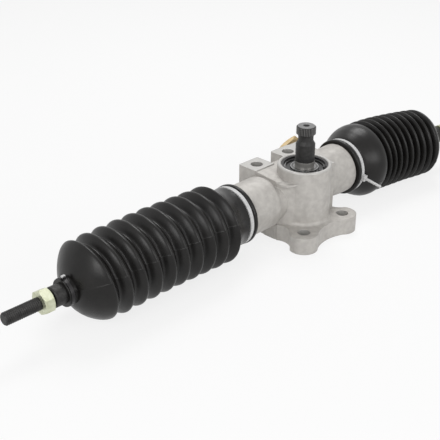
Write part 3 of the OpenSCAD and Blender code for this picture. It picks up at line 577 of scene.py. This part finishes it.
def centre_line(distance, side, ball, bend, lift, lean):
    """The point and heading after distance mm along a boot, counted from the
    pinion axis. With t = (distance - start) / (end - start), the smooth step aside is
    g = (end - ball) x (3t^2 - 2t^3) + (end - start) x (t^3 - t^2) between start and
    end, 0 before and distance - ball after. The point lies at
    (distance + (cos(bend) - 1) x g, -sin(bend) x g), raised by lift. The heading
    follows that line and dips by lean, in degrees, so the folds lean out at the top."""
    start, end = BEND_FROM, ball + NECK_AT
    t = np.clip((distance - start) / (end - start), 0, 1)
    aside = (end - ball) * (3 * t ** 2 - 2 * t ** 3) + (end - start) * (t ** 3 - t ** 2)
    aside += np.maximum(distance - end, 0)
    slope = 6 * (end - ball) / (end - start) * (t - t ** 2) + 3 * t ** 2 - 2 * t
    place = RACK_AXIS + np.stack([
        side * (distance + (math.cos(bend) - 1) * aside), -math.sin(bend) * aside,
        np.interp(distance, *lift),
    ], axis=-1)
    heading = np.stack([
        side * (1 + (math.cos(bend) - 1) * slope), -math.sin(bend) * slope,
        -np.tan(np.radians(np.interp(distance, *lean))),
    ], axis=-1)
    return place, heading / np.linalg.norm(heading, axis=-1, keepdims=True)


# %% [markdown]
# The fold itself is a crest and a narrow valley with a small flat at its
# bottom. In the photograph that flat catches the light as a thin line between
# two dark flanks. A cosine raised to a power draws the crest and its flanks,
# and the flat is what is left between two of them.

# %% Boot profiles
VALLEY, WALL = 27.0, 1.8
FLAT_FROM, CREST_POWER = 0.4501, 1.35
LEFT_CRESTS = [33.3] * 9 + [32.6]
RIGHT_CRESTS = [33.8, 34.3, 34.4, 34.4, 34.2, 33.9, 33.6, 33.4, 33.1, 32.6]
NECK, NECK_LONG, CLIP_GROOVE, SHOULDER_POWER = 10.8, 7.0, 0.6, 1.4
TUBE_SEAT, TIE_SEAT, END, BEAD = 21.62, 24.2, 25.2, 26.2
BEAD_AT, BEAD_WIDE = 69.5, 4.0
TUBE_END = 78.0
ROD_BORE = 8.06


def fold_radius(share, crest):
    """Radius at a share of the pitch from the crest, from -0.5 to 0.5: the valley
    plus the rest times cos(90 degrees x share / FLAT_FROM) ** CREST_POWER, and
    the flat of the valley beyond FLAT_FROM."""
    slant = np.clip(np.abs(share) / FLAT_FROM, 0, 1)
    return VALLEY + (crest - VALLEY) * np.cos(np.pi / 2 * slant) ** CREST_POWER


def fold(middle, pitch, crest):
    """Distance and radius of one whole fold, from valley to valley."""
    share = np.linspace(-0.5, 0.5, 31)
    return middle + pitch * share, fold_radius(share, crest)


def big_end(middle, pitch, rise, crest):
    """The bead, the seat of the tie and the rise to the first crest, then down
    to its valley. rise gives the share of the way up, 0 at the seat and 1 at the
    crest."""
    bead_turn = np.linspace(0, np.pi, 9)
    bead_s = BEAD_AT - BEAD_WIDE / 2 * np.cos(bead_turn)
    bead_r = BEAD - 2 + 2 * np.sin(bead_turn) ** 0.5
    seat_s = BEAD_AT + BEAD_WIDE / 2 + np.array([0.4, 4.8, 5.4])
    seat_r = np.array([TIE_SEAT, TIE_SEAT, END])
    share = np.linspace(0.05, 1, 20)
    rise_s = seat_s[-1] + (middle - seat_s[-1]) * share
    rise_r = END + (crest - END) * rise(share)
    down = np.linspace(0, 0.5, 16)[1:]
    return (
        np.concatenate([bead_s, seat_s, rise_s, middle + pitch * down]),
        np.concatenate([bead_r, seat_r, rise_r, fold_radius(down, crest)]),
    )


def small_end(ball, middle, pitch, crest):
    """Up from the last valley to the last crest, then a shoulder that is drawn
    in towards a cone: radius falls as cos(a) ** SHOULDER_POWER while the distance
    grows as sin(a) ** SHOULDER_POWER, and the straight neck with the groove of
    its clip."""
    up = np.linspace(-0.5, 0, 16)
    a = np.linspace(0, np.pi / 2, 25)[1:-1]
    neck = ball + NECK_AT
    shoulder_s = middle + (neck - middle) * np.sin(a) ** SHOULDER_POWER
    shoulder_r = NECK + (crest - NECK) * np.cos(a) ** SHOULDER_POWER
    neck_s = neck + np.array([0, 0.35, 0.36, 0.88, 0.89, 0.96, 1]) * NECK_LONG
    groove = NECK - CLIP_GROOVE
    neck_r = np.array([NECK, NECK, groove, groove, NECK, NECK, NECK - 0.3])
    return (
        np.concatenate([middle + pitch * up, shoulder_s, neck_s]),
        np.concatenate([fold_radius(up, crest), shoulder_r, neck_r]),
    )


# %% [markdown]
# The two halves of the mould leave a thin raised line along the boot, front
# and back. It shows in the photograph as a light tick across every crest. A
# bump would draw it on the shading alone, so it is put into the radius.

# %% Boot rings
PART_LINE = math.radians(200)
LINE_HIGH, LINE_WIDE = 0.28, 0.5
BOOT_ANGLES = turn_angles(120, [PART_LINE, PART_LINE + math.pi], 0.04)
LOWEST = 0.2


def boot_ring(name, distance, radius, line_of, seat):
    """A closed ring of rubber: the outer profile out, and the same profile one
    wall further in and back. Where the boot sits on the tube or the rod, seat
    holds the radius of its bore, and 0 elsewhere. The radius of each point is
    r + LINE_HIGH x exp(-(d / LINE_WIDE) ** 2), where d is how far round it lies
    from a moulded line. No point lies lower than LOWEST, so a boot that touches
    the mounting plane is pressed flat there."""
    inner = np.where(seat > 0, seat, radius[::-1] - WALL)
    along = np.concatenate([distance, distance[::-1]])
    rings = np.concatenate([radius, inner])
    outside = np.concatenate([np.ones_like(radius), np.zeros_like(radius)])
    place, heading = line_of(along)
    across = np.cross([0.0, 0.0, 1.0], heading)
    across /= np.linalg.norm(across, axis=-1, keepdims=True)
    up = np.cross(heading, across)
    away = np.abs((BOOT_ANGLES - PART_LINE + np.pi / 2) % np.pi - np.pi / 2)
    ridge = LINE_HIGH * np.exp(-((away[None, :] * rings[:, None]) / LINE_WIDE) ** 2)
    reach = rings[:, None] + ridge * outside[:, None]
    grid = place[:, None, :] + reach[..., None] * (
        np.cos(BOOT_ANGLES)[None, :, None] * across[:, None, :]
        + np.sin(BOOT_ANGLES)[None, :, None] * up[:, None, :]
    )
    grid[..., 2] = np.maximum(grid[..., 2], LOWEST + WALL * (1 - outside[:, None]))
    piece = grid_piece(name, grid)
    piece.data.materials.append(boot_rubber)
    return piece


# %% [markdown]
# A piece that crosses a joint would take a share of its travel that grows
# smoothly from 0 to 1, as t x t x (3 - 2t). One such curve over a whole boot
# would open its middle folds most. Here each ring is only baked where it
# stands: the ends of its stretch are worked out, and no share of the travel
# is given yet.


def share_travel(piece, line_of, ends, zone, bodies):
    """Bakes the ring's transform into its mesh. It works out where the ring's
    stretch of its zone starts and ends along the centre line, but nothing uses
    those points yet.
    bodies is not used."""
    first, last = max(ends[0], zone[0]), min(ends[1], zone[1])
    place, _ = line_of(np.array([first, *zone]))
    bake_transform(piece)


def make_boot(word, side, ball, bend, lift, lean, first, pitch, crests, rise, zones):
    """All the rings of one boot. Each zone is its two ends and its two bodies,
    and a ring belongs to the zone that its middle lies in."""
    def line_of(distance):
        return centre_line(distance, side, ball, bend, lift, lean)

    faces = 0
    for k, crest in enumerate(crests):
        middle = first + k * pitch
        is_last = k == len(crests) - 1
        if k == 0:
            profile = big_end(middle, pitch, rise, crest)
        elif is_last:
            profile = small_end(ball, middle, pitch, crest)
        else:
            profile = fold(middle, pitch, crest)
        back = profile[0][::-1]
        on_rod = np.where(back > ball + NECK_AT - 1, ROD_BORE, 0.0)
        seat = np.where(back < TUBE_END + 0.5, TUBE_SEAT, on_rod)
        ring = boot_ring(f"boot_{word}_fold_{k + 1:02d}", *profile, line_of, seat)
        ends = (profile[0].min(), profile[0].max())
        within = [zone for zone in zones if sum(ends) / 2 < zone[0][1]]
        share_travel(ring, line_of, ends, *(zones[-1] if is_last else within[0]))
        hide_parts(f"boot_{word}")
        faces += len(ring.data.polygons)
    print(word, "boot:", len(crests), "rings and", faces, "faces")


# %% [markdown]
# The left boot is stretched, with wide folds, and the right one is squeezed,
# because the rack bar stands to the left of its middle. The folds nearest the
# housing are given the zone of the slide, and those further out the zones of
# the swing and then the lift of the tie rod. One zone meets the next in a valley.

# %% Both boots
LEFT_ZONES = [
    ((80.0, 172.45), ("housing", "rack")),
    ((172.45, 200.25), ("rack", "seat_left")),
    ((200.25, 227.0), ("seat_left", "tie_rod_left")),
]
RIGHT_ZONES = [
    ((88.0, 121.825), ("housing", "rack")),
    ((121.825, 146.815), ("rack", "seat_right")),
    ((146.815, 175.97), ("seat_right", "tie_rod_right")),
]
LEFT_FIRST, LEFT_PITCH = 96.0, 13.9
RIGHT_FIRST, RIGHT_PITCH = 101.0, 8.33


def flared(t):
    """The left boot's rise: t ** 2.2, slow at first and then steep."""
    return t ** 2.2


def domed(t):
    """The right boot's rise: sin(90 degrees x t) + 0.2 x sin(180 degrees x t)."""
    return np.sin(np.pi / 2 * t) + 0.2 * np.sin(np.pi * t)


make_boot(
    "left", -1, BALL_LEFT, 0.0, LEFT_LIFT, LEFT_LEAN,
    LEFT_FIRST, LEFT_PITCH, LEFT_CRESTS, flared, LEFT_ZONES,
)
make_boot(
    "right", 1, BALL_RIGHT, RIGHT_SWING, RIGHT_LIFT, RIGHT_LEAN,
    RIGHT_FIRST, RIGHT_PITCH, RIGHT_CRESTS, domed, RIGHT_ZONES,
)

# %% [markdown]
# The tie rods are turned from bar, and their studs carry a rolled thread. A
# thread could also be cut with a coil and a Boolean modifier, but that can
# leave thin slivers. Here the whole rod is one grid: rows along it, and columns
# round it. The thread is a zigzag whose phase moves on by one pitch per turn,
# which makes it a true helix.

# %% Tie rods with rolled threads
ROD, ROD_END = 8.0, 141.0
BALL_RADIUS, BALL_NECK = 9.0, 5.0
CONE_FROM, CONE_TO = 15.0, 23.0
STUD_LONG, STUD, UNDERCUT, UNDERCUT_LONG = 39.0, 5.0, 4.6, 10.5
THREAD_PITCH, THREAD_DEEP = 1.5, 0.62


def tie_rod(name, side, ball, bend):
    """Radius along the rod = ball, neck, cone, bar and stud. On the stud it is
    less by depth x triangle(distance / pitch - angle / full turn)."""
    tip = np.linspace(-BALL_RADIUS, math.sqrt(BALL_RADIUS ** 2 - BALL_NECK ** 2), 40)
    tip_r = np.sqrt(np.maximum(BALL_RADIUS ** 2 - tip ** 2, 0))
    shoulder = ROD_END - STUD_LONG
    thread_from = shoulder + UNDERCUT_LONG
    thread = np.arange(thread_from, ROD_END - 1.0, THREAD_PITCH / 8)
    s = np.concatenate([
        tip, [CONE_FROM, CONE_TO, CONE_TO + 0.01],
        [shoulder - 0.8, shoulder - 0.01, shoulder, thread_from - 0.01],
        thread, [ROD_END - 0.9, ROD_END, ROD_END],
    ])
    r = np.concatenate([
        tip_r, [BALL_NECK, ROD, ROD],
        [ROD, ROD - 0.7, UNDERCUT, UNDERCUT],
        np.full(len(thread), STUD), [STUD - 0.2, STUD - 1.0, 0],
    ])
    angle = np.linspace(0, 2 * np.pi, 64, endpoint=False)
    phase = (s[:, None] / THREAD_PITCH - angle[None, :] / (2 * np.pi)) % 1
    cut = THREAD_DEEP * np.abs(2 * phase - 1)
    on_thread = (s >= thread_from) & (s < ROD_END - 0.95)
    reach = r[:, None] - np.where(on_thread[:, None], cut, 0)
    heading = np.array([side * math.cos(bend), -math.sin(bend), 0])
    up = np.array([0.0, 0.0, 1.0])
    across = np.cross(up, heading)
    centre = RACK_AXIS + np.array([side * ball, 0, 0])
    grid = centre + s[:, None, None] * heading + reach[..., None] * (
        np.cos(angle)[None, :, None] * across + np.sin(angle)[None, :, None] * up
    )
    piece = grid_piece(name, grid, close_rows=False)
    piece.data.materials.append(phosphate)
    return piece


RODS = (("left", -1, BALL_LEFT, 0.0), ("right", 1, BALL_RIGHT, RIGHT_SWING))
for word, side, ball, bend in RODS:
    rod = tie_rod(f"threaded_tie_rod_{word}", side, ball, bend)
    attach(rod, f"tie_rod_{word}")
    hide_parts(f"tie_rod_{word}")
    print(rod.name, "faces:", len(rod.data.polygons))
